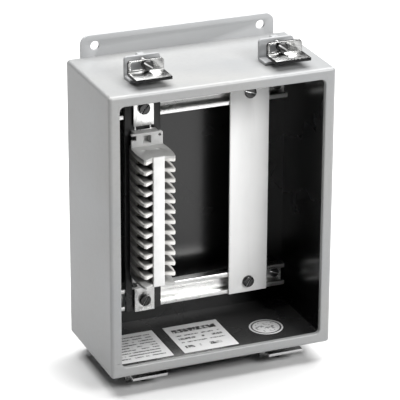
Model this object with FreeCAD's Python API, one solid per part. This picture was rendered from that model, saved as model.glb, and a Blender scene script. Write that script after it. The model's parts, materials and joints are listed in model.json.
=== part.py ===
import FreeCAD, Part
import math
import os

# Wall-mounted sheet-steel terminal enclosure, cover off: box with clamps, two strut rails,
# a strap carrying a terminal block, and a blank strap.
# X runs across the box, Y runs into the wall and Z is up. The origin is the centre of the four
# wall-mounting holes, on the wall plane, so every piece lies at negative Y. All sizes are in mm.

V = FreeCAD.Vector

# ---- box ----
box_width = 203.2
box_height = 254.0
box_depth = 101.6
sheet = 1.9                    # body sheet
bend_radius = 3.2              # outside radius of the formed edges
lip_width = 9.5                # inward lip round the opening, from the outside face
lip_return = 4.0               # how far the lip's rolled edge turns back into the box
opening_corner = 4.5
lip_edge_radius = 1.2
seam_length = 4.2              # lip joint at one lower corner
seam_width = 0.5
seam_depth = 0.8

# ---- wall brackets ----
bracket_sheet = 2.7
bracket_rise = 19.05           # how far a bracket stands out beyond the box
bracket_overlap = 25.4         # how far it is welded down the back
bracket_corner = 8.0
bracket_side_margin = 12.7     # hole centre to the bracket's end
wall_hole_spacing = 152.4      # across
wall_hole_radius = 3.97
wall_hole_rise = 9.525         # hole centre beyond the box

# ---- cover clamps ----
clamp_inset = 38.1             # clamp screw to the side of the box
top_left_shift = 6.0           # the top left clamp is set this much further in
clamp_width = 31.8
clamp_sheet = 2.7
clamp_screw_edge = 4.65        # top of the uprights above the screw's axis
clamp_foot_front = 8.0         # front edge of the clamp's foot, behind the front of the box
clamp_foot_height = 6.2        # underside of the foot above the box
clamp_upright_front = 27.0
clamp_corner = 3.0
clamp_bend = 0.5               # inside bend radius
clamp_slot_half = 3.7          # half the height of the opening that lets a loose clamp slide sideways
clamp_slot_corner = 1.8
clamp_slot_left = -13.4        # ends of the opening from the clamp's centre
clamp_slot_right = -2.6
clamp_slot_stop = 1.8          # furthest screw place along the narrow slot that carries the opening on
clamp_lean_left = -1.4         # clamp's centre from its screw, as each one was left
clamp_lean_right = 2.4
ear_front = 39.0               # front face of the welded ear's upright
ear_foot_front = 26.0
screw_shank_radius = 2.415
screw_clearance = 0.3          # shank in a plain hole or slot
thread_clearance = 0.05        # shank in a tapped nut, radial
clamp_screw_head_radius = 4.6
clamp_screw_head_height = 3.4
clamp_screw_length = 22.0
head_gap = 0.4                 # screw head above the inside bend of the clamp's foot
ring_thickness = 1.2
ring_radius = 4.4
nut_flats = 9.5
nut_height = 5.0
slot_width = 1.3               # screwdriver slots
slot_depth = 1.4

# ---- rails ----
rail_inset = 38.1              # rail centre to the top or bottom of the box
rail_end_gap = 12.7            # rail end to the side of the box
rail_height = 20.6
rail_depth = 9.5
rail_sheet = 1.9
rail_lip = 4.0
rail_corner = 0.8
standoff_length = 20.2
standoff_flats = 10.0
rail_screw_inset = 6.9         # screw centre to the rail's end
rail_screw_shank_radius = 2.5
rail_screw_head_radius = 4.2
rail_screw_head_height = 2.8
rail_screw_grip = 12.0

# ---- straps ----
slide_gap = 0.1                # between a rail and what slides on it
strap_sheet = 1.9
strap_end_inset = 0.1          # strap end inside the rail's far edge
strap_edge_radius = 0.7
blank_strap_width = 36.5
blank_strap_inset = 36.2       # strap centre to the rail's end
strap_screw_head_radius = 5.2
strap_screw_head_height = 3.0
strap_nut_width = 14.0
strap_nut_thickness = 3.2
strap_nut_gap = 0.65           # each side, inside the rail

# ---- terminal strap and its track, a flat face on two legs that stand in from its long edges ----
terminal_strap_width = 33.0
terminal_strap_inset = 42.4    # strap centre to the rail's end
channel_width = 18.2
channel_depth = 3.2
channel_sheet = 1.2
channel_overhang = 1.6         # face beyond each leg
channel_gap_height = 3.4       # gap in the face above the upper anchor
channel_gap_bridge = 0.8       # what the gap leaves of each leg, against the strap

# ---- terminal block ----
section_count = 12
section_pitch = 9.525
section_gap = 0.06             # between neighbours
block_width = 28.4
block_depth = 38.0             # channel face to the barrier tips
block_drop = 2.0               # block centre below the box's centre
barrier_thickness = 2.6
barrier_side_bulge = 1.5
barrier_rear_inset = 0.8
barrier_tip_inset = 1.6
barrier_notch_depth = 4.0
barrier_notch_margin = 0.6     # notch floor beyond the rib on each side
base_depth = 15.8
rib_width = 10.5
end_plate_thickness = 2.2
dimple_radius = 2.3            # two shallow sinks in an end plate's outer face
dimple_depth = 0.5
dimple_spacing = 13.0
dimple_back = 20.5             # sink centres behind the barrier tips
hook_side_clearance = 0.2      # between a section's hooks and the track's long edges
hook_back_clearance = 0.15
hook_wall = 1.6
hook_tooth = 1.2
hook_leg_gap = 0.4             # between a hook's tooth and the track's leg
marking_strip_width = 10.0
marking_strip_thickness = 1.2

# ---- terminal hardware ----
contact_thickness = 1.0
contact_side_gap = 0.73        # to the barrier on each side
contact_end_margin = 0.4
terminal_x = 10.0              # terminal screw from the block's centre line
terminal_head_side_gap = 0.73
terminal_head_height = 2.2
terminal_shank_radius = 1.5
terminal_grip = 6.0
plate_side_gap = 0.63
plate_thickness = 0.8

# ---- end anchors ----
anchor_width = 28.4
anchor_height = 12.0
anchor_plate = 2.6
anchor_body_depth = 7.8
anchor_window = 7.2
anchor_hole_radius = 1.3
anchor_hole_x = 11.4
anchor_notch = 4.4
anchor_gap = 0.1

# ---- labels ----
label_thickness = 0.15
label_depth = 53.8
label_width = 51.0
label_front = 22.0             # front edge behind the front of the box
label_spaces = (12.7, 10.0, 20.3, 24.0)  # side, between, between, side: they share what the labels leave
round_label_depth = 44.5
round_label_radius = 15.2

# ---- places that follow from the sizes above ----
front = -(box_depth + bracket_sheet)
back_wall = -(bracket_sheet + sheet)
half_width = box_width / 2
half_height = box_height / 2
rail_back = back_wall - standoff_length
rail_front = rail_back - rail_depth
rail_half = half_width - rail_end_gap
rail_z = half_height - rail_inset
strap_back = rail_front - slide_gap
strap_front = strap_back - strap_sheet
channel_front = strap_front - channel_depth
block_x = -(rail_half - terminal_strap_inset)
blank_x = rail_half - blank_strap_inset
block_z = -block_drop
sections_half = section_count * section_pitch / 2
bay_height = section_pitch - barrier_thickness - section_gap
contact_width = bay_height - 2 * contact_side_gap
plate_width = bay_height - 2 * plate_side_gap
terminal_head_radius = bay_height / 2 - terminal_head_side_gap
block_half = sections_half + end_plate_thickness
block_front = channel_front - block_depth
anchor_top = block_half + anchor_gap + anchor_height
leg_outside = channel_width / 2 - channel_overhang
base_half = block_width / 2 - barrier_rear_inset
clamp_screw_rise = clamp_foot_height + clamp_sheet + clamp_bend + head_gap + clamp_screw_head_radius
clamp_rise = clamp_screw_rise + clamp_screw_edge
strap_half = rail_z + rail_height / 2 - strap_end_inset

os.makedirs("parts", exist_ok=True)


def save(name, shape):
    if isinstance(shape, list):
        shape = Part.makeCompound(shape)
    shape.exportStep("parts/" + name + ".step")


def block(x0, x1, y0, y1, z0, z1):
    return Part.makeBox(x1 - x0, y1 - y0, z1 - z0, V(x0, y0, z0))


def rod(radius, y0, y1, x, z):
    return Part.makeCylinder(radius, y1 - y0, V(x, y0, z), V(0, 1, 0))


def prism(points, direction):
    wire = Part.makePolygon([V(*p) for p in points + points[:1]])
    return Part.Face(wire).extrude(V(*direction))


def hexagon(flats, y0, y1, x, z):
    corner = flats / math.sqrt(3)
    points = []
    for turn in range(6):
        angle = math.radians(60 * turn)
        points.append((x + corner * math.cos(angle), y0, z + corner * math.sin(angle)))
    return prism(points, (0, y1 - y0, 0))


def fuse(shapes):
    joined = shapes[0].multiFuse(shapes[1:])
    return joined.removeSplitter()


def edges_where(shape, test):
    return [edge for edge in shape.Edges if test(edge.BoundBox)]


def along(box, axis):
    spans = {"x": box.XLength, "y": box.YLength, "z": box.ZLength}
    long_span = spans.pop(axis)
    return long_span > 0.01 and max(spans.values()) < 0.001


def round_edges(shape, radius, test):
    return shape.makeFillet(radius, edges_where(shape, test))


def turned_over(shape):
    """The same piece turned half a turn about Y, for the opposite end of the box."""
    copy = shape.copy()
    copy.rotate(V(0, 0, 0), V(0, 1, 0), 180)
    return copy


def mirrored_down(shape, level):
    return shape.mirror(V(0, 0, level), V(0, 0, 1))


def pan_screw(x, z, bearing, head_radius, head_height, shank_radius, length, slot_turn):
    """Slotted screw along Y; bearing is the underside of its head, which faces the front."""
    dome = head_height * 0.45
    head = rod(head_radius, bearing - head_height, bearing, x, z)
    head = round_edges(head, dome, lambda b: abs(b.YMax - bearing + head_height) < 0.001)
    reach = head_radius + 1
    top = bearing - head_height
    cut = block(x - reach, x + reach, top - 1, top + slot_depth, z - slot_width / 2, z + slot_width / 2)
    cut.rotate(V(x, 0, z), V(0, 1, 0), slot_turn)
    return fuse([head.cut(cut), rod(shank_radius, bearing - 0.01, bearing + length, x, z)])


# ---------------------------------------------------------------- enclosure
def enclosure_body():
    outer = block(-half_width, half_width, front, -bracket_sheet, -half_height, half_height)
    outer = round_edges(outer, bend_radius, lambda b: along(b, "y") or b.YMax < front + 0.001)
    inner = block(-half_width + sheet, half_width - sheet, front + sheet, back_wall,
                  -half_height + sheet, half_height - sheet)
    inner = round_edges(inner, bend_radius - sheet, lambda b: (
        along(b, "y") or b.YMax < front + sheet + 0.001))
    shell = outer.cut(inner)

    open_x = half_width - lip_width
    open_z = half_height - lip_width

    def opening(grow, depth0, depth1):
        shape = block(-open_x - grow, open_x + grow, front + depth0, front + depth1,
                      -open_z - grow, open_z + grow)
        return round_edges(shape, opening_corner + grow, lambda b: along(b, "y"))

    roll = opening(sheet, 0.5, lip_return)
    shell = shell.fuse(roll).cut(opening(0, -1, lip_return + 1)).removeSplitter()
    shell = round_edges(shell, lip_edge_radius, lambda b: (
        b.YMax < front + 0.001 and b.XMax < open_x + 0.01 and b.XMin > -open_x - 0.01
        and b.ZMax < open_z + 0.01 and b.ZMin > -open_z - 0.01))
    seam_z = -open_z + opening_corner
    seam = block(-open_x - seam_length, -open_x + 1, front - 1, front + seam_depth,
                 seam_z - seam_width / 2, seam_z + seam_width / 2)
    return shell.cut(seam)


def wall_bracket():
    half = wall_hole_spacing / 2 + bracket_side_margin
    top = half_height + bracket_rise
    plate = block(-half, half, -bracket_sheet, 0, half_height - bracket_overlap, top)
    plate = round_edges(plate, bracket_corner, lambda b: along(b, "y") and b.ZMin > half_height)
    for side in (-1, 1):
        hole = rod(wall_hole_radius, -bracket_sheet - 1, 1,
                   side * wall_hole_spacing / 2, half_height + wall_hole_rise)
        plate = plate.cut(hole)
    return plate


save("enclosure_body", enclosure_body())
save("wall_bracket_top", wall_bracket())
save("wall_bracket_bottom", turned_over(wall_bracket()))


# ---------------------------------------------------------------- cover clamps
def angle_piece(x, upright_y, foot_y, foot_z, top_z):
    """L-shaped strip: a foot running forwards from the bottom of an upright."""
    x0 = x - clamp_width / 2
    x1 = x + clamp_width / 2
    foot = block(x0, x1, foot_y, upright_y + clamp_sheet, foot_z, foot_z + clamp_sheet)
    upright = block(x0, x1, upright_y, upright_y + clamp_sheet, foot_z, top_z)
    piece = fuse([foot, upright])
    inner_y = upright_y
    inner_z = foot_z + clamp_sheet
    piece = round_edges(piece, clamp_bend, lambda b: (
        along(b, "x") and abs(b.YMin - inner_y) < 0.001 and abs(b.ZMin - inner_z) < 0.001))
    outer_y = upright_y + clamp_sheet
    piece = round_edges(piece, clamp_bend + clamp_sheet * 0.6, lambda b: (
        along(b, "x") and abs(b.YMin - outer_y) < 0.001 and abs(b.ZMin - foot_z) < 0.001))
    return round_edges(piece, clamp_corner, lambda b: along(b, "y") and b.ZMin > top_z - 0.001)


def clamp_set(x, lean):
    """Pieces of one clamp on top of the box, with its screw at x and its jaw set over by lean."""
    level = half_height
    screw_z = level + clamp_screw_rise
    ear_y = front + ear_front
    ear_back = ear_y + clamp_sheet
    jaw_y = front + clamp_upright_front
    jaw_back = jaw_y + clamp_sheet
    clear = screw_shank_radius + screw_clearance

    ear = angle_piece(x, ear_y, front + ear_foot_front, level, level + clamp_rise)
    ear = ear.cut(rod(clear, ear_y - 1, ear_back + 1, x, screw_z))
    nut = hexagon(nut_flats, ear_back, ear_back + nut_height, x, screw_z)
    nut = nut.cut(rod(screw_shank_radius + thread_clearance, ear_back - 1,
                      ear_back + nut_height + 1, x, screw_z))

    jaw_x = x + lean
    jaw = angle_piece(jaw_x, jaw_y, front + clamp_foot_front, level + clamp_foot_height, level + clamp_rise)
    opening = block(jaw_x + clamp_slot_left, jaw_x + clamp_slot_right, jaw_y - 1, jaw_back + 1,
                    screw_z - clamp_slot_half, screw_z + clamp_slot_half)
    opening = round_edges(opening, clamp_slot_corner, lambda b: along(b, "y"))
    stop_x = jaw_x + clamp_slot_stop
    narrow = fuse([
        rod(clear, jaw_y - 1, jaw_back + 1, stop_x, screw_z),
        block(jaw_x + clamp_slot_right - 1, stop_x, jaw_y - 1, jaw_back + 1,
              screw_z - clear, screw_z + clear)])
    jaw = jaw.cut(opening).cut(narrow)

    screw = pan_screw(x, screw_z, jaw_y, clamp_screw_head_radius, clamp_screw_head_height,
                      screw_shank_radius, clamp_screw_length, 35)
    ring = rod(ring_radius, jaw_back, jaw_back + ring_thickness, x, screw_z)
    ring = ring.cut(rod(screw_shank_radius, jaw_back - 1, jaw_back + ring_thickness + 1, x, screw_z))
    return ear, nut, jaw, screw, ring


clamp_x = half_width - clamp_inset
clamp_sets = {
    "top_left": clamp_set(top_left_shift - clamp_x, clamp_lean_left),
    "top_right": clamp_set(clamp_x, clamp_lean_right),
    "bottom_left": [turned_over(piece) for piece in clamp_set(clamp_x, 0)],
    "bottom_right": [turned_over(piece) for piece in clamp_set(-clamp_x, 0)]}
clamp_nuts = []
for place, (ear, nut, jaw, screw, ring) in clamp_sets.items():
    save("clamp_ear_" + place, ear)
    save("cover_clamp_" + place, jaw)
    save("clamp_screw_" + place, screw)
    save("clamp_ring_" + place, ring)
    clamp_nuts.append(nut)
save("clamp_weld_nuts", clamp_nuts)


# ---------------------------------------------------------------- rails
def rail(level):
    half = rail_height / 2
    outer = block(-rail_half, rail_half, rail_front, rail_back, level - half, level + half)
    outer = round_edges(outer, rail_corner, lambda b: along(b, "x"))
    inner = block(-rail_half - 1, rail_half + 1, rail_front + rail_sheet, rail_back - rail_sheet,
                  level - half + rail_sheet, level + half - rail_sheet)
    mouth = block(-rail_half - 1, rail_half + 1, rail_front - 1, rail_front + rail_sheet + 1,
                  level - half + rail_lip, level + half - rail_lip)
    shape = outer.cut(inner).cut(mouth)
    for x in rail_screw_xs:
        hole = rod(rail_screw_shank_radius + screw_clearance, rail_back - rail_sheet - 1,
                   rail_back + 1, x, level)
        shape = shape.cut(hole)
    return shape


rail_screw_xs = (-rail_half + rail_screw_inset, rail_half - rail_screw_inset)
standoffs = []
rail_screws = []
for level in (-rail_z, rail_z):
    for x in rail_screw_xs:
        bearing = rail_back - rail_sheet
        bore = rod(rail_screw_shank_radius + thread_clearance, rail_back - 1,
                   bearing + rail_screw_grip + 1, x, level)
        standoffs.append(hexagon(standoff_flats, rail_back, back_wall, x, level).cut(bore))
        rail_screws.append(pan_screw(x, level, bearing, rail_screw_head_radius, rail_screw_head_height,
                                     rail_screw_shank_radius, rail_screw_grip, 20))
save("rail_upper", rail(rail_z))
save("rail_lower", rail(-rail_z))
save("rail_standoffs", standoffs)
save("rail_screws", rail_screws)


# ---------------------------------------------------------------- straps
def strap(x, width):
    plate = block(x - width / 2, x + width / 2, strap_front, strap_back, -strap_half, strap_half)
    plate = round_edges(plate, strap_edge_radius, lambda b: along(b, "z") and b.YMax < strap_front + 0.001)
    for level in (-rail_z, rail_z):
        plate = plate.cut(rod(screw_shank_radius + screw_clearance, strap_front - 1,
                              strap_back + 1, x, level))
    return plate


def strap_fasteners(x, bearing, slot_turns):
    """Screws and the sliding nuts that draw a strap against the rails."""
    nut_front = rail_front + rail_sheet + slide_gap
    nut_back = nut_front + strap_nut_thickness
    nut_half = rail_height / 2 - rail_sheet - strap_nut_gap
    screws = []
    nuts = []
    for level, turn in zip((-rail_z, rail_z), slot_turns):
        screws.append(pan_screw(x, level, bearing, strap_screw_head_radius, strap_screw_head_height,
                                screw_shank_radius, nut_back + 0.6 - bearing, turn))
        nut = block(x - strap_nut_width / 2, x + strap_nut_width / 2, nut_front, nut_back,
                    level - nut_half, level + nut_half)
        nuts.append(nut.cut(rod(screw_shank_radius + thread_clearance, nut_front - 1,
                                nut_back + 1, x, level)))
    return screws, nuts


save("blank_strap", strap(blank_x, blank_strap_width))
screws, nuts = strap_fasteners(blank_x, strap_front, (-60, 20))
save("blank_strap_screws", screws)
save("blank_strap_nuts", nuts)

save("terminal_strap", strap(block_x, terminal_strap_width))
screws, nuts = strap_fasteners(block_x, channel_front, (-60, -50))
save("terminal_strap_screws", screws)
save("terminal_strap_nuts", nuts)


def terminal_channel():
    half = channel_width / 2
    pieces = [block(block_x - half, block_x + half, channel_front, channel_front + channel_sheet,
                    -strap_half, strap_half)]
    for x in (block_x - leg_outside, block_x + leg_outside - channel_sheet):
        pieces.append(block(x, x + channel_sheet, channel_front, strap_front, -strap_half, strap_half))
    shape = fuse(pieces)
    for level in (-rail_z, rail_z):
        shape = shape.cut(rod(screw_shank_radius + screw_clearance, channel_front - 1,
                              channel_front + channel_sheet + 1, block_x, level))
    gap_z = block_z + anchor_top + 0.3
    gap = block(block_x - half - 1, block_x + half + 1, channel_front - 1, strap_front - channel_gap_bridge,
                gap_z, gap_z + channel_gap_height)
    return shape.cut(gap)


save("terminal_channel", terminal_channel())


# ---------------------------------------------------------------- terminal block
def barrier_outline(z0, thickness):
    """Plan outline of a barrier: pointed at the two front corners, notched beside the marking strip."""
    half = block_width / 2
    rib = rib_width / 2
    tip = block_front
    notch = block_front + barrier_notch_depth
    rear = channel_front
    left_front = V(block_x - half, tip + barrier_tip_inset, z0)
    left_rear = V(block_x - base_half, rear, z0)
    right_front = V(block_x + half, tip + barrier_tip_inset, z0)
    right_rear = V(block_x + base_half, rear, z0)
    middle_y = (tip + rear) / 2
    points = [
        V(block_x - half + barrier_tip_inset, tip, z0),
        V(block_x - rib - barrier_notch_margin, notch, z0),
        V(block_x + rib + barrier_notch_margin, notch, z0),
        V(block_x + half - barrier_tip_inset, tip, z0)]
    edges = [Part.LineSegment(left_front, points[0]).toShape()]
    for start, stop in zip(points, points[1:]):
        edges.append(Part.LineSegment(start, stop).toShape())
    edges.append(Part.LineSegment(points[3], right_front).toShape())
    right_mid = V(block_x + half + barrier_side_bulge, middle_y, z0)
    edges.append(Part.Arc(right_front, right_mid, right_rear).toShape())
    edges.append(Part.LineSegment(right_rear, left_rear).toShape())
    left_mid = V(block_x - half - barrier_side_bulge, middle_y, z0)
    edges.append(Part.Arc(left_rear, left_mid, left_front).toShape())
    return Part.Face(Part.Wire(edges)).extrude(V(0, 0, thickness))


def section_levels(index):
    """Lower and upper limits of one section, counted from the top of the block."""
    top = block_z + sections_half - index * section_pitch
    return top - section_pitch + section_gap, top


def track_hooks(low, high):
    """Two hooks that reach round the long edges of the track's face."""
    edge = channel_width / 2 + hook_side_clearance
    tooth_front = channel_front + channel_sheet + hook_back_clearance
    tooth_back = tooth_front + hook_tooth
    hooks = []
    for side in (-1, 1):
        xs = sorted((block_x + side * edge, block_x + side * (edge + hook_wall)))
        hooks.append(block(xs[0], xs[1], channel_front - 0.5, tooth_back, low, high))
        xs = sorted((block_x + side * (leg_outside + hook_leg_gap), block_x + side * (edge + hook_wall)))
        hooks.append(block(xs[0], xs[1], tooth_front, tooth_back, low, high))
    return hooks


def terminal_section(index):
    low, high = section_levels(index)
    barrier_low = high - barrier_thickness
    rib = rib_width / 2
    base_front = channel_front - base_depth
    rib_front = block_front + barrier_notch_depth
    base = block(block_x - base_half, block_x + base_half, base_front, channel_front, low, high)
    rib_block = block(block_x - rib, block_x + rib, rib_front, base_front + 0.5, low, high)
    body = fuse([barrier_outline(barrier_low, barrier_thickness), base, rib_block] + track_hooks(low, high))
    middle = (low + barrier_low) / 2
    for side in (-1, 1):
        hole = rod(terminal_shank_radius, base_front - 1, base_front + terminal_grip,
                   block_x + side * terminal_x, middle)
        body = body.cut(hole)
    return body


contacts = []
terminal_screws = []
pressure_plates = []
for index in range(section_count):
    save("terminal_section_%02d" % (index + 1), terminal_section(index))
    low, high = section_levels(index)
    middle = (low + high - barrier_thickness) / 2
    base_front = channel_front - base_depth
    contact_front = base_front - contact_thickness
    plate_front = contact_front - plate_thickness
    for side in (-1, 1):
        x = block_x + side * terminal_x
        inner = block_x + side * rib_width / 2
        outer = block_x + side * (base_half - contact_end_margin)
        tab = block(min(inner, outer), max(inner, outer), contact_front, base_front,
                    middle - contact_width / 2, middle + contact_width / 2)
        contacts.append(tab.cut(rod(terminal_shank_radius, contact_front - 1, base_front + 1, x, middle)))
        plate = block(x - plate_width / 2, x + plate_width / 2, plate_front, contact_front,
                      middle - plate_width / 2, middle + plate_width / 2)
        pressure_plates.append(plate.cut(rod(terminal_shank_radius, plate_front - 1,
                                             contact_front + 1, x, middle)))
        grip = base_front + terminal_grip - plate_front - 0.5
        terminal_screws.append(pan_screw(x, middle, plate_front, terminal_head_radius, terminal_head_height,
                                         terminal_shank_radius, grip, 25 * side))
save("terminal_contacts", contacts)
save("terminal_screws", terminal_screws)
save("pressure_plates", pressure_plates)



def end_plate():
    """Upper end plate, with the two sinks in its top face."""
    plate = barrier_outline(block_z + sections_half, end_plate_thickness)
    sink_z = block_z + block_half - dimple_depth
    for side in (-1, 1):
        place = V(block_x + side * dimple_spacing / 2, block_front + dimple_back, sink_z)
        plate = plate.cut(Part.makeCylinder(dimple_radius, dimple_depth + 1, place))
    return plate


save("end_plate_upper", end_plate())
save("end_plate_lower", mirrored_down(end_plate(), block_z))

strip_back = block_front + barrier_notch_depth
marking_strip = block(block_x - marking_strip_width / 2, block_x + marking_strip_width / 2,
                      strip_back - marking_strip_thickness, strip_back,
                      block_z - block_half, block_z + block_half)
save("marking_strip", marking_strip)


# ---------------------------------------------------------------- end anchors
def end_anchor():
    """Upper anchor: a plate against the block's end with hooks that grip the track."""
    low = block_z + block_half + anchor_gap
    high = low + anchor_height
    half = anchor_width / 2
    plate_front = channel_front - anchor_body_depth
    plate = block(block_x - half, block_x + half, plate_front, plate_front + anchor_plate, low, high)
    plate = round_edges(plate, 1.5, lambda b: along(b, "y") and b.XMin > block_x and b.ZMin > low)
    body_half = channel_width / 2 + hook_side_clearance + hook_wall
    body = block(block_x - body_half, block_x + body_half, plate_front + 0.5, channel_front, low, high)
    anchor = fuse([plate, body] + track_hooks(low, high))
    middle = (low + high) / 2
    window = block(block_x - anchor_window / 2, block_x + anchor_window / 2, plate_front - 1,
                   plate_front + anchor_body_depth, middle - anchor_window / 2, middle + anchor_window / 2)
    notch = block(block_x - half - 1, block_x - half + anchor_notch, plate_front - 1, channel_front,
                  middle, middle + anchor_notch)
    hole = rod(anchor_hole_radius, plate_front - 1, channel_front, block_x + anchor_hole_x, high - 3.2)
    return anchor.cut(window).cut(notch).cut(hole)


save("end_anchor_upper", end_anchor())
save("end_anchor_lower", mirrored_down(end_anchor(), block_z))


# ---------------------------------------------------------------- labels
floor = -half_height + sheet
label_y = front + label_front
spare = box_width - 2 * sheet - 2 * label_width - 2 * round_label_radius
squeeze = spare / sum(label_spaces)
left_label_x = -half_width + sheet + squeeze * label_spaces[0] + label_width / 2
middle_label_x = left_label_x + label_width + squeeze * label_spaces[1]
round_label_x = half_width - sheet - squeeze * label_spaces[3] - round_label_radius
for name, x in (("label_left", left_label_x), ("label_middle", middle_label_x)):
    label = block(x - label_width / 2, x + label_width / 2, label_y, label_y + label_depth,
                  floor, floor + label_thickness)
    save(name, label)
disc = Part.makeCylinder(round_label_radius, label_thickness,
                         V(round_label_x, front + round_label_depth, floor))
save("label_round", disc)
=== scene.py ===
import json
import math

import bmesh
import bpy
from mathutils import Matrix, Vector


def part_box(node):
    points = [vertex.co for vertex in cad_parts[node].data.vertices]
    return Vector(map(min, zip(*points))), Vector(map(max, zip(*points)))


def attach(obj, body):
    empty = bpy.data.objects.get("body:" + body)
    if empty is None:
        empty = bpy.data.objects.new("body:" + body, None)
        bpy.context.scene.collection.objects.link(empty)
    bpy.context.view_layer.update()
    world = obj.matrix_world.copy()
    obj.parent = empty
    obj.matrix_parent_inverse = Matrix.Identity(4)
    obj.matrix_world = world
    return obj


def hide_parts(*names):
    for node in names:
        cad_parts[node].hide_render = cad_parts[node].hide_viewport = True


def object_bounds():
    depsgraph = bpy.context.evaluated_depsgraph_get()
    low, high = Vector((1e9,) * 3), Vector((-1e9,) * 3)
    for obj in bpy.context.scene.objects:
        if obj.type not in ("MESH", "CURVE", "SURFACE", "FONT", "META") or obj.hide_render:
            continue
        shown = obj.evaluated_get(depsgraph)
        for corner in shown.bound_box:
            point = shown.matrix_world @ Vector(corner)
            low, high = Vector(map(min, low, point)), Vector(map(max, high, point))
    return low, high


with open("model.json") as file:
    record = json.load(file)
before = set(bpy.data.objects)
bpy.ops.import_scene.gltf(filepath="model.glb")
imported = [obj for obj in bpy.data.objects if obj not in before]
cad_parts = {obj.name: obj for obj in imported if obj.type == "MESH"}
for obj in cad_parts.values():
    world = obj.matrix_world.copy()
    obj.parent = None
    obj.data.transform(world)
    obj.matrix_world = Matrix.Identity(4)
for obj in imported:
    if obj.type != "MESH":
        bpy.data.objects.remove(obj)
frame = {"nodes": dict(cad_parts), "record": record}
cad_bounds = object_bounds()

MM = 0.001

# ---- places read from the frame ----
BOX_LOW, BOX_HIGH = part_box("enclosure_body")
BACK_Y = BOX_HIGH.y
FRONT_Y = BOX_LOW.y
SHEET = 1.9 * MM
OUTSIDE_SHARE = 0.82           # of the sheet's thickness, coloured as the outside
LIP_WIDTH = 9.5 * MM
LIP_RETURN = 4.0 * MM
RETURN_END = 0.2 * MM          # of the lip's return, coloured as the inside
OPEN_X = BOX_HIGH.x - LIP_WIDTH
OPEN_Z = BOX_HIGH.z - LIP_WIDTH
BLOCK_LOW, BLOCK_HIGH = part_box("terminal_section_01")
SECTION_COUNT = 12

# ---- edge softening ----
SHEET_EDGE = 0.30 * MM
CAST_EDGE = 0.35 * MM
FINE_EDGE = 0.15 * MM
LABEL_EDGE = 0.03 * MM
SHARP_ANGLE = math.radians(28)
FLAT_ANGLE = math.radians(0.6)  # facets that turn less than this are joined before a bevel
SAME_POINT = 0.002 * MM        # corners closer than this are one

# ---- clamp screw thread and welds ----
THREAD_PITCH = 1.058 * MM
THREAD_ROOT = 1.95 * MM
THREAD_CREST = 2.40 * MM
THREAD_STEPS = 20              # to each turn
THREAD_CORE_SIDES = 24
RIDGE_SHARE = 0.42             # half a ridge's width as a share of the pitch
RIDGE_SUNK = 0.1 * MM          # into the core
BEAD_RADIUS = 1.6 * MM
BEAD_LENGTH = 26.0 * MM
BEAD_SPREAD = 0.66             # outer beads' middles, as a share of half the bracket
BEAD_OFF_BACK = 0.5 * MM       # behind the box's back face
BEAD_OFF_EDGE = 0.4 * MM       # past the bracket's edge
BEAD_SIDES = 10
RIPPLE_STEP = 0.8 * MM
EAR_BEAD_INSET = 3.0 * MM      # from each end of the ear

# ---- labels: each row's place and height as shares of half the label, and its dashes' length ----
LABEL_MARGIN = 5.0 * MM
LABEL_INK = (0.03, 0.03, 0.03)
LEFT_ROWS = [(0.74 - 0.185 * row, 0.07, 8.0 * MM) for row in range(9)]
MIDDLE_ROWS = [(0.60, 0.24, 26.0 * MM), (0.24, 0.07, 10.0 * MM), (0.00, 0.12, 13.0 * MM),
               (-0.26, 0.07, 9.0 * MM), (-0.60, 0.18, 17.0 * MM)]

# ---- plate and mouldings ----
EVEN_GRAIN = (600.0, 600.0, 600.0)
EDGE_SHADE_DEPTH = 0.32 * MM       # depth of the painted shade on a jaw's edges
SLOT_DEPTH = 0.9 * MM          # in a slotted head, to where its painted highlight starts
RECESS_START = 1.5 * MM        # behind the barriers' tips
RECESS_FADE = 5.0 * MM         # over which the painted shade in a recess darkens
RECESS_INSET = 1.8 * MM        # from the block's sides
RECESS_SIDE = 1.2 * MM         # over which the painted shade clears again

# ---- camera ----
VIEW_AZIMUTH = -22.5
VIEW_ELEVATION = 22.45
VIEW_ROLL = 0.25
VIEW_DISTANCE = 2.146
VIEW_TARGET = Vector((0.0, -0.0535, 0.0))
VIEW_OFFSET_RIGHT = 0.53 * MM
VIEW_OFFSET_UP = -3.0 * MM
SENSOR = 36.0
LENS = 224.9

# ---- studio ----
FLOOR_REACH = 6.0              # from the middle to each side


# ------------------------------------------------------------------ node helpers
def new_material(name):
    material = bpy.data.materials.new(name)
    material.use_nodes = True
    tree = material.node_tree
    tree.nodes.clear()
    output = tree.nodes.new("ShaderNodeOutputMaterial")
    shader = tree.nodes.new("ShaderNodeBsdfPrincipled")
    tree.links.new(shader.outputs["BSDF"], output.inputs["Surface"])
    return material, tree, shader


def object_point(tree):
    return tree.nodes.new("ShaderNodeTexCoord").outputs["Object"]


def placed(tree, point, scale, shift=(0, 0, 0)):
    mapping = tree.nodes.new("ShaderNodeMapping")
    mapping.inputs["Scale"].default_value = scale
    mapping.inputs["Location"].default_value = shift
    tree.links.new(point, mapping.inputs["Vector"])
    return mapping.outputs["Vector"]


def noise(tree, point, scale, detail=3.0, rough=0.5):
    node = tree.nodes.new("ShaderNodeTexNoise")
    node.inputs["Scale"].default_value = scale
    node.inputs["Detail"].default_value = detail
    node.inputs["Roughness"].default_value = rough
    tree.links.new(point, node.inputs["Vector"])
    return node.outputs["Fac"]


def ranged(tree, value, from_low, from_high, low, high):
    node = tree.nodes.new("ShaderNodeMapRange")
    limits = {"From Min": from_low, "From Max": from_high, "To Min": low, "To Max": high}
    for name, number in limits.items():
        node.inputs[name].default_value = number
    tree.links.new(value, node.inputs["Value"])
    return node.outputs["Result"]


def clouded(tree, cloud, low, high):
    """The middle range of a noise, where most of its values lie, spread from low to high."""
    return ranged(tree, cloud, 0.3, 0.7, low, high)


def split(tree, vector):
    """X, Y and Z of a point or a normal."""
    node = tree.nodes.new("ShaderNodeSeparateXYZ")
    tree.links.new(vector, node.inputs["Vector"])
    return node.outputs


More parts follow.
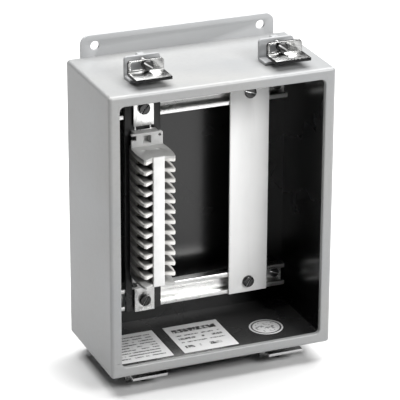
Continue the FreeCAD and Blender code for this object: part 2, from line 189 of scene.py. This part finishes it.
def facing(tree):
    return split(tree, tree.nodes.new("ShaderNodeNewGeometry").outputs["Normal"])


def calc(tree, operation, first, second=None, third=None):
    node = tree.nodes.new("ShaderNodeMath")
    node.operation = operation
    for socket, value in zip(node.inputs, (first, second, third)):
        if isinstance(value, (int, float)):
            socket.default_value = value
        elif value is not None:
            tree.links.new(value, socket)
    return node.outputs["Value"]


def mixed(tree, factor, first, second):
    node = tree.nodes.new("ShaderNodeMix")
    node.data_type = "RGBA"
    sockets = (node.inputs[0], node.inputs[6], node.inputs[7])
    for socket, value in zip(sockets, (factor, first, second)):
        if isinstance(value, (int, float)):
            socket.default_value = value
        elif isinstance(value, tuple):
            socket.default_value = (*value, 1.0)
        else:
            tree.links.new(value, socket)
    return node.outputs[2]


def bumped(tree, shader, height, strength, distance=0.1 * MM):
    node = tree.nodes.new("ShaderNodeBump")
    node.inputs["Strength"].default_value = strength
    node.inputs["Distance"].default_value = distance
    tree.links.new(height, node.inputs["Height"])
    tree.links.new(node.outputs["Normal"], shader.inputs["Normal"])


def toned(tone, share):
    return tuple(channel * share for channel in tone)


def grey(level):
    return (level, level, level)


# ------------------------------------------------------------------ finishes
def box_paint():
    """Light grey enamel outside, glossy black inside, with the light orange peel of sprayed sheet steel."""
    material, tree, shader = new_material("box_enamel")
    point = object_point(tree)
    x, y, z = split(tree, point)
    across = calc(tree, "ABSOLUTE", x)
    upright = calc(tree, "ABSOLUTE", z)

    half_sheet = SHEET * 0.5
    skin = SHEET * OUTSIDE_SHARE
    within_x = calc(tree, "LESS_THAN", across, BOX_HIGH.x - skin)
    within_z = calc(tree, "LESS_THAN", upright, BOX_HIGH.z - skin)
    behind_face = calc(tree, "GREATER_THAN", y, FRONT_Y + skin)
    before_back = calc(tree, "LESS_THAN", y, BACK_Y - skin)
    past_return = calc(tree, "GREATER_THAN", y, FRONT_Y + LIP_RETURN - RETURN_END)
    beside_x = calc(tree, "GREATER_THAN", across, OPEN_X + half_sheet)
    beside_z = calc(tree, "GREATER_THAN", upright, OPEN_Z + half_sheet)
    hidden = calc(tree, "MAXIMUM", past_return, calc(tree, "MAXIMUM", beside_x, beside_z))
    inside = calc(tree, "MULTIPLY", calc(tree, "MULTIPLY", within_x, within_z),
                  calc(tree, "MULTIPLY", calc(tree, "MULTIPLY", behind_face, before_back), hidden))

    cloud = noise(tree, point, 14.0, 4.0)
    mist = noise(tree, point, 260.0, 2.0)
    outer_tone = mixed(tree, clouded(tree, cloud, 0.0, 1.0), (0.235, 0.24, 0.245), (0.265, 0.265, 0.26))
    outer_tone = mixed(tree, ranged(tree, mist, 0.45, 0.75, 0.0, 0.25), outer_tone, (0.21, 0.21, 0.205))
    # the inside's upward-facing surfaces are made lighter than its other surfaces, more where the cloud is
    # high
    upward = ranged(tree, facing(tree)["Z"], 0.6, 0.95, 0.0, 1.0)
    upward_lighter = calc(tree, "MULTIPLY", upward, clouded(tree, cloud, 0.6, 1.0))
    inner_tone = mixed(tree, upward_lighter, grey(0.003), grey(0.045))
    tree.links.new(mixed(tree, inside, outer_tone, inner_tone), shader.inputs["Base Color"])

    rough = tree.nodes.new("ShaderNodeMix")
    tree.links.new(inside, rough.inputs[0])
    tree.links.new(clouded(tree, cloud, 0.36, 0.48), rough.inputs[2])
    tree.links.new(clouded(tree, cloud, 0.22, 0.30), rough.inputs[3])
    tree.links.new(rough.outputs[0], shader.inputs["Roughness"])
    shader.inputs["Specular IOR Level"].default_value = 0.45
    shader.inputs["Coat Weight"].default_value = 0.12
    shader.inputs["Coat Roughness"].default_value = 0.15
    bumped(tree, shader, noise(tree, point, 520.0, 2.0), 0.10, 0.2 * MM)
    return material


def enamel(name, tone, rough=0.38):
    """Sprayed enamel on a flat or folded steel piece."""
    material, tree, shader = new_material(name)
    point = object_point(tree)
    cloud = noise(tree, point, 22.0, 4.0)
    base = mixed(tree, clouded(tree, cloud, 0.0, 1.0), toned(tone, 0.94), tone)
    tree.links.new(base, shader.inputs["Base Color"])
    tree.links.new(clouded(tree, cloud, rough - 0.05, rough + 0.07), shader.inputs["Roughness"])
    bumped(tree, shader, noise(tree, point, 560.0, 2.0), 0.10, 0.2 * MM)
    return material


def plated(name, tone, rough=0.28, grain=(30.0, 900.0, 900.0), grain_depth=0.12, mottling=0.12):
    """Bright zinc plate: rolling lines along the piece, a cloudy tone and small stains."""
    material, tree, shader = new_material(name)
    point = object_point(tree)
    cloud = noise(tree, point, 55.0, 5.0, 0.6)
    lines = noise(tree, placed(tree, point, grain), 1.0, 3.0, 0.65)
    spots = noise(tree, point, 420.0, 3.0, 0.6)
    dull = toned(tone, 1.0 - 2.2 * mottling)
    base = mixed(tree, ranged(tree, cloud, 0.35, 0.68, 0.0, 1.0), dull, tone)
    base = mixed(tree, ranged(tree, spots, 0.6, 0.8, 0.0, 0.5), base, toned(tone, 0.62))
    tree.links.new(base, shader.inputs["Base Color"])
    shader.inputs["Metallic"].default_value = 1.0
    wear = calc(tree, "ADD", cloud, lines)
    tree.links.new(ranged(tree, wear, 0.7, 1.3, rough - 0.08, rough + 0.12), shader.inputs["Roughness"])
    bumped(tree, shader, lines, grain_depth)
    return material


def painted_over(material, mask, colour):
    """Another colour over the finish's own where the mask is 1."""
    tree = material.node_tree
    shader = tree.nodes["Principled BSDF"]
    own = shader.inputs["Base Color"].links[0].from_socket
    tree.links.new(mixed(tree, mask, own, colour), shader.inputs["Base Color"])
    return material


def plated_with_edge_shade(name, tone, edge_shade_tone, low, high):
    """Bright plate with a painted tone on its sheet edges, at its front and both ends: painted shade and
    dark reflection where that tone is dark.
    """
    material = plated(name, tone, rough=0.22, grain_depth=0.03, mottling=0.02)
    tree = material.node_tree
    x, y, _ = split(tree, object_point(tree))
    at_front = calc(tree, "LESS_THAN", y, low.y + EDGE_SHADE_DEPTH)
    at_left = calc(tree, "LESS_THAN", x, low.x + EDGE_SHADE_DEPTH)
    at_right = calc(tree, "GREATER_THAN", x, high.x - EDGE_SHADE_DEPTH)
    # painted shade mask: the jaw's front and end edges
    edge = calc(tree, "MAXIMUM", at_front, calc(tree, "MAXIMUM", at_left, at_right))
    return painted_over(material, edge, edge_shade_tone)


def slotted_head(node):
    """Dark plated screw with a painted highlight on the forward-facing floor of its slot."""
    material = plated(node + "_plate", grey(0.075), rough=0.30, grain=EVEN_GRAIN, grain_depth=0.05)
    tree = material.node_tree
    head_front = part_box(node)[0].y
    sunk = calc(tree, "GREATER_THAN", split(tree, object_point(tree))["Y"], head_front + SLOT_DEPTH)
    forward = calc(tree, "LESS_THAN", facing(tree)["Y"], -0.7)
    # painted highlight: the slot's forward-facing floor is made bright
    return painted_over(material, calc(tree, "MULTIPLY", sunk, forward), grey(0.85))


def moulding(name, tone, rough=0.46, recess=None):
    """Moulded phenolic: slightly cloudy, with fine grain. A recess (its front, middle and half width) is
    darkened with painted shade."""
    material, tree, shader = new_material(name)
    point = object_point(tree)
    cloud = noise(tree, point, 90.0, 4.0)
    grain = noise(tree, point, 2600.0, 2.0)
    base = mixed(tree, clouded(tree, cloud, 0.0, 1.0), toned(tone, 0.88), tone)
    if recess:
        recess_front, middle, half = recess
        x, y, _ = split(tree, point)
        across = calc(tree, "ABSOLUTE", calc(tree, "SUBTRACT", x, middle))
        # painted shade: darker deeper in the recess, clearing towards the block's sides
        recess_shade = calc(tree, "MULTIPLY",
                    ranged(tree, y, recess_front, recess_front + RECESS_FADE, 0.0, 0.97),
                    ranged(tree, across, half - RECESS_SIDE, half, 1.0, 0.0))
        base = mixed(tree, recess_shade, base, toned(tone, 0.10))
    tree.links.new(base, shader.inputs["Base Color"])
    tree.links.new(clouded(tree, cloud, rough - 0.08, rough + 0.08), shader.inputs["Roughness"])
    bumped(tree, shader, grain, 0.12)
    return material


def printed_row(tree, local, across_row, row, half, order):
    """Ink of one row of plain dashes: row holds its place and height as shares of half the label, and
    the length of its dashes."""
    place, height, word = row
    tall = height * half.y
    off_row = calc(tree, "ABSOLUTE", calc(tree, "SUBTRACT", across_row, place * half.y))
    on_row = calc(tree, "LESS_THAN", off_row, tall / 2)
    shift = (order * 7.3, order * 3.1, 0)
    words = noise(tree, placed(tree, local, (1.3 / word, 0, 0), shift), 1.0, 1.0)
    strokes = noise(tree, placed(tree, local, (9.0 / word, 1.0 / tall, 0), shift), 1.0, 1.0)
    dashes = calc(tree, "MULTIPLY", on_row, ranged(tree, words, 0.38, 0.42, 0.0, 1.0))
    return calc(tree, "MULTIPLY", dashes, ranged(tree, strokes, 0.36, 0.50, 0.1, 1.0))


def label_film(node, ground, rows):
    """Printed label: rows of plain dashes inside a blank margin, all generic."""
    low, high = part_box(node)
    centre = (low + high) / 2
    half = (high - low) / 2
    material, tree, shader = new_material(node + "_film")
    point = object_point(tree)
    local = placed(tree, point, (1, 1, 1), (-centre.x, -centre.y, 0))
    x, y, _ = split(tree, local)
    inked = printed_row(tree, local, y, rows[0], half, 0)
    for order, row in enumerate(rows[1:], start=1):
        inked = calc(tree, "MAXIMUM", inked, printed_row(tree, local, y, row, half, order))
    inside_margin = calc(tree, "LESS_THAN", calc(tree, "ABSOLUTE", x), half.x - LABEL_MARGIN)
    inked = calc(tree, "MULTIPLY", inked, inside_margin)
    fibre = noise(tree, point, 700.0, 3.0)
    paper = mixed(tree, clouded(tree, fibre, 0.0, 1.0), toned(ground, 0.95), ground)
    tree.links.new(mixed(tree, inked, paper, LABEL_INK), shader.inputs["Base Color"])
    shader.inputs["Roughness"].default_value = 0.42
    bumped(tree, shader, fibre, 0.06)
    return material


def round_label_film(node):
    """Round label: a white rim, a dark ring and a mottled white middle."""
    low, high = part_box(node)
    centre = (low + high) / 2
    radius = (high.x - low.x) / 2
    material, tree, shader = new_material("round_label_film")
    point = object_point(tree)
    local = placed(tree, point, (1, 1, 0), (-centre.x, -centre.y, 0))
    length = tree.nodes.new("ShaderNodeVectorMath")
    length.operation = "LENGTH"
    tree.links.new(local, length.inputs[0])
    reach = calc(tree, "DIVIDE", length.outputs["Value"], radius)
    ring = calc(tree, "MULTIPLY", calc(tree, "GREATER_THAN", reach, 0.80),
                calc(tree, "LESS_THAN", reach, 0.90))
    blots = ranged(tree, noise(tree, local, 260.0, 2.0), 0.52, 0.58, 0.0, 0.7)
    middle = calc(tree, "MULTIPLY", blots, calc(tree, "LESS_THAN", reach, 0.66))
    inked = calc(tree, "MAXIMUM", ring, middle)
    tree.links.new(mixed(tree, inked, grey(0.68), LABEL_INK), shader.inputs["Base Color"])
    shader.inputs["Roughness"].default_value = 0.4
    bumped(tree, shader, noise(tree, point, 700.0, 3.0), 0.06)
    return material


FINISH = {
    "box": box_paint(),
    "bracket": enamel("bracket_enamel", (0.36, 0.365, 0.37)),
    "ear": enamel("clamp_ear_enamel", (0.30, 0.305, 0.31)),
    "screw": plated("screw_plate", grey(0.15), rough=0.24, grain=EVEN_GRAIN),
    "rail": plated("rail_plate", (0.90, 0.90, 0.89), rough=0.30, mottling=0.06),
    "standoff": plated("standoff_plate", (0.60, 0.60, 0.59), rough=0.34, grain=(700.0, 60.0, 700.0)),
    "strap": enamel("strap_enamel", (0.80, 0.80, 0.795), rough=0.36),
    "black_strap": enamel("black_strap_enamel", grey(0.012), rough=0.32),
    "channel": plated("channel_plate", (0.90, 0.90, 0.89), rough=0.30, grain=(900.0, 900.0, 40.0),
                      mottling=0.08),
    # the block's recess between the barriers gets painted shade
    "block": moulding("block_phenolic", (0.86, 0.85, 0.82),
                      recess=(BLOCK_LOW.y + RECESS_START, (BLOCK_LOW.x + BLOCK_HIGH.x) / 2,
                              (BLOCK_HIGH.x - BLOCK_LOW.x) / 2 - RECESS_INSET)),
    "end_plate": moulding("end_plate_phenolic", (0.50, 0.50, 0.49)),
    "anchor": moulding("anchor_phenolic", (0.55, 0.55, 0.545)),
    "contact": plated("contact_plate", (0.62, 0.60, 0.55), rough=0.30, grain=(200.0, 900.0, 900.0)),
    "marking": moulding("marking_strip_white", (0.76, 0.76, 0.755), rough=0.40),
}


# ------------------------------------------------------------------ mesh helpers
def finished(name, mesh, finish, body, stands_for=()):
    piece = bpy.data.objects.new(name, mesh)
    bpy.context.scene.collection.objects.link(piece)
    mesh.materials.clear()
    mesh.materials.append(finish)
    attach(piece, body)
    if stands_for:
        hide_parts(*stands_for)
    return piece


def shade(bm):
    """Smooth faces with creases at the sharp edges."""
    for face in bm.faces:
        face.smooth = True
    for edge in bm.edges:
        edge.smooth = len(edge.link_faces) != 2 or edge.calc_face_angle(0.0) < SHARP_ANGLE


def body_of(node):
    for body, nodes in frame["record"]["behaviour"]["bodies"].items():
        if node in nodes:
            return body
    return None


def as_mesh(name, bm, finish, body, stands_for=()):
    shade(bm)
    mesh = bpy.data.meshes.new(name)
    bm.to_mesh(mesh)
    bm.free()
    return finished(name, mesh, finish, body, stands_for)


def node_copy(node):
    bm = bmesh.new()
    bm.from_mesh(frame["nodes"][node].data)
    bmesh.ops.remove_doubles(bm, verts=bm.verts, dist=SAME_POINT)
    return bm


def stand_in(node, ending, bm, finish):
    """The finished piece that takes the node's place."""
    return as_mesh(node + ending, bm, finish, body_of(node), (node,))


def eased(node, finish, width):
    """The node's own shape with its sharp edges softened as a made piece has them, or left as they are
    where the width is 0."""
    bm = node_copy(node)
    if width:
        bmesh.ops.dissolve_limit(bm, angle_limit=FLAT_ANGLE, verts=bm.verts, edges=bm.edges)
        sharp = [e for e in bm.edges if len(e.link_faces) == 2 and e.calc_face_angle(0.0) > SHARP_ANGLE]
        bmesh.ops.bevel(bm, geom=sharp, offset=width, offset_type="OFFSET", segments=2, profile=0.5,
                        affect="EDGES", clamp_overlap=True, material=-1)
    return stand_in(node, "_eased", bm, finish)


def threaded(node, finish, plain_until):
    """The node's screw with its shank cut as a thread behind plain_until."""
    low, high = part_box(node)
    axis = (low + high) / 2
    bm = node_copy(node)
    cut = bmesh.ops.bisect_plane(bm, geom=bm.verts[:] + bm.edges[:] + bm.faces[:],
                                 plane_co=(0, plain_until, 0), plane_no=(0, 1, 0), clear_outer=True)
    rim = [item for item in cut["geom_cut"] if isinstance(item, bmesh.types.BMEdge)]
    bmesh.ops.edgeloop_fill(bm, edges=rim)

    length = high.y - plain_until
    middle = Matrix.Translation((axis.x, plain_until + length / 2, axis.z))
    bmesh.ops.create_cone(bm, cap_ends=True, segments=THREAD_CORE_SIDES, radius1=THREAD_ROOT,
                          radius2=THREAD_ROOT, depth=length,
                          matrix=middle @ Matrix.Rotation(math.pi / 2, 4, "X"))
    half = THREAD_PITCH * RIDGE_SHARE
    start = plain_until + half
    foot = THREAD_ROOT - RIDGE_SUNK
    ridge = [bm.verts.new((axis.x + reach, start + along, axis.z))
             for reach, along in ((foot, -half), (THREAD_CREST, 0.0), (foot, half))]
    face = bm.faces.new(ridge)
    turns = (length - 2 * half) / THREAD_PITCH
    steps = int(turns * THREAD_STEPS)
    bmesh.ops.spin(bm, geom=[face], cent=(axis.x, start, axis.z), axis=(0, 1, 0),
                   dvec=(0, THREAD_PITCH * turns / steps, 0), angle=2 * math.pi * turns, steps=steps,
                   use_duplicate=False)
    bmesh.ops.recalc_face_normals(bm, faces=bm.faces)
    return stand_in(node, "_threaded", bm, finish)


def weld_bead(name, start, end, finish):
    """A run of overlapping weld ripples along one joint, thin at both ends and painted over."""
    bm = bmesh.new()
    run = end - start
    turn = run.to_track_quat("Z", "Y").to_matrix().to_4x4()
    count = int(run.length / RIPPLE_STEP)
    loops = []
    for step in range(count + 1):
        share = step / count
        taper = min(1.0, 0.35 + 6.0 * min(share, 1.0 - share))
        ripple = 0.80 + 0.20 * abs(math.sin(step * 0.9))
        spot = Matrix.Translation(start + run * share) @ turn
        made = bmesh.ops.create_circle(bm, cap_ends=False, segments=BEAD_SIDES,
                                       radius=BEAD_RADIUS * taper * ripple, matrix=spot)
        ring = made["verts"]
        loops.append((ring, list({edge for vert in ring for edge in vert.link_edges})))
    for (_, near), (_, far) in zip(loops, loops[1:]):
        bmesh.ops.bridge_loops(bm, edges=near + far)
    for ring, _ in (loops[0], loops[-1]):
        bm.faces.new(ring)
    bmesh.ops.recalc_face_normals(bm, faces=bm.faces)
    return as_mesh(name, bm, finish, "enclosure")


# ------------------------------------------------------------------ pieces
eased("enclosure_body", FINISH["box"], 0.0)
for end in ("top", "bottom"):
    eased("wall_bracket_" + end, FINISH["bracket"], SHEET_EDGE)

for end in ("top", "bottom"):
    # painted shade standing for a dark reflection on the top jaws' edges; the bottom jaws' edges get a
    # plain mid grey
    jaw_edge_shade = grey(0.02) if end == "top" else grey(0.45)
    for side in ("left", "right"):
        place = end + "_" + side
        eased("clamp_ear_" + place, FINISH["ear"], SHEET_EDGE)
        jaw_plate = plated_with_edge_shade("clamp_plate_" + place, (0.42, 0.42, 0.415), jaw_edge_shade,
                                 *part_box("cover_clamp_" + place))
        eased("cover_clamp_" + place, jaw_plate, SHEET_EDGE)
        threaded("clamp_screw_" + place, slotted_head("clamp_screw_" + place),
                 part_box("clamp_ring_" + place)[1].y)
        eased("clamp_ring_" + place, FINISH["screw"], FINE_EDGE)
eased("clamp_weld_nuts", FINISH["ear"], SHEET_EDGE)

for node in ("rail_upper", "rail_lower"):
    eased(node, FINISH["rail"], FINE_EDGE)
eased("rail_standoffs", FINISH["standoff"], SHEET_EDGE)
eased("rail_screws", slotted_head("rail_screws"), FINE_EDGE)

for strap, finish in (("blank_strap", "strap"), ("terminal_strap", "black_strap")):
    eased(strap, FINISH[finish], FINE_EDGE)
    eased(strap + "_screws", slotted_head(strap + "_screws"), FINE_EDGE)
    eased(strap + "_nuts", FINISH["rail"], SHEET_EDGE)

eased("terminal_channel", FINISH["channel"], FINE_EDGE)
for number in range(1, SECTION_COUNT + 1):
    eased("terminal_section_%02d" % number, FINISH["block"], CAST_EDGE)
for node in ("terminal_contacts", "terminal_screws", "pressure_plates"):
    eased(node, FINISH["contact"], FINE_EDGE)
eased("marking_strip", FINISH["marking"], FINE_EDGE)
for end in ("upper", "lower"):
    eased("end_plate_" + end, FINISH["end_plate"], CAST_EDGE)
    eased("end_anchor_" + end, FINISH["anchor"], FINE_EDGE)

for end in ("top", "bottom"):
    low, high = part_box("wall_bracket_" + end)
    edge_z = low.z - BEAD_OFF_EDGE if end == "top" else high.z + BEAD_OFF_EDGE
    for spot, x in enumerate((low.x * BEAD_SPREAD, 0.0, high.x * BEAD_SPREAD), start=1):
        start = Vector((x - BEAD_LENGTH / 2, BACK_Y + BEAD_OFF_BACK, edge_z))
        weld_bead(f"bracket_weld_{end}_{spot}", start, start + Vector((BEAD_LENGTH, 0, 0)),
                  FINISH["bracket"])
    for side in ("left", "right"):
        low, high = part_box(f"clamp_ear_{end}_{side}")
        wall_z = low.z if end == "top" else high.z
        weld_bead(f"ear_weld_{end}_{side}", Vector((low.x + EAR_BEAD_INSET, high.y, wall_z)),
                  Vector((high.x - EAR_BEAD_INSET, high.y, wall_z)), FINISH["ear"])

eased("label_left", label_film("label_left", grey(0.66), LEFT_ROWS), LABEL_EDGE)
eased("label_middle", label_film("label_middle", grey(0.72), MIDDLE_ROWS), LABEL_EDGE)
eased("label_round", round_label_film("label_round"), LABEL_EDGE)


# ------------------------------------------------------------------ floor, light and camera
def studio_floor():
    bm = bmesh.new()
    bmesh.ops.create_grid(bm, x_segments=1, y_segments=1, size=FLOOR_REACH)
    bmesh.ops.translate(bm, verts=bm.verts, vec=(0, 0, cad_bounds[0].z))
    mesh = bpy.data.meshes.new("studio_floor")
    bm.to_mesh(mesh)
    bm.free()
    floor = bpy.data.objects.new("studio_floor", mesh)
    bpy.context.scene.collection.objects.link(floor)
    material, _, shader = new_material("studio_floor_white")
    shader.inputs["Base Color"].default_value = (*grey(0.60), 1)
    shader.inputs["Roughness"].default_value = 0.9
    mesh.materials.append(material)


def studio_air():
    world = bpy.data.worlds.new("studio")
    bpy.context.scene.world = world
    world.use_nodes = True
    background = world.node_tree.nodes["Background"]
    background.inputs["Color"].default_value = (1, 1, 1, 1)
    background.inputs["Strength"].default_value = 0.04


def softbox(name, place, aim, width, height, power):
    data = bpy.data.lights.new(name, "AREA")
    data.shape = "RECTANGLE"
    data.size = width
    data.size_y = height
    data.energy = power
    lamp = bpy.data.objects.new(name, data)
    bpy.context.scene.collection.objects.link(lamp)
    lamp.location = place
    lamp.rotation_mode = "QUATERNION"
    lamp.rotation_quaternion = (Vector(aim) - Vector(place)).to_track_quat("-Z", "Y")


def camera():
    azimuth = math.radians(VIEW_AZIMUTH)
    elevation = math.radians(VIEW_ELEVATION)
    back = Vector((math.sin(azimuth) * math.cos(elevation), -math.cos(azimuth) * math.cos(elevation),
                   math.sin(elevation)))
    right = Vector((math.cos(azimuth), math.sin(azimuth), 0))
    turned = Matrix((right, back.cross(right), back)).transposed()
    turned = turned @ Matrix.Rotation(math.radians(VIEW_ROLL), 3, "Z")
    place = VIEW_TARGET + back * VIEW_DISTANCE - turned @ Vector((VIEW_OFFSET_RIGHT, VIEW_OFFSET_UP, 0))

    data = bpy.data.cameras.new("camera")
    data.sensor_width = SENSOR
    data.lens = LENS
    data.clip_start = 0.05
    data.clip_end = 50.0
    seen = bpy.data.objects.new("camera", data)
    bpy.context.scene.collection.objects.link(seen)
    seen.matrix_world = Matrix.Translation(place) @ turned.to_4x4()
    bpy.context.scene.camera = seen


studio_floor()
studio_air()
softbox("overhead", (0.35, 0.45, 2.1), (0.35, 0.45, 0), 3.0, 2.6, 180)
softbox("front", (0.75, -1.6, 1.15), (0, -0.05, 0), 0.9, 0.6, 40)
camera()
bpy.context.scene.view_settings.view_transform = "Standard"
bpy.context.scene.view_settings.look = "None"
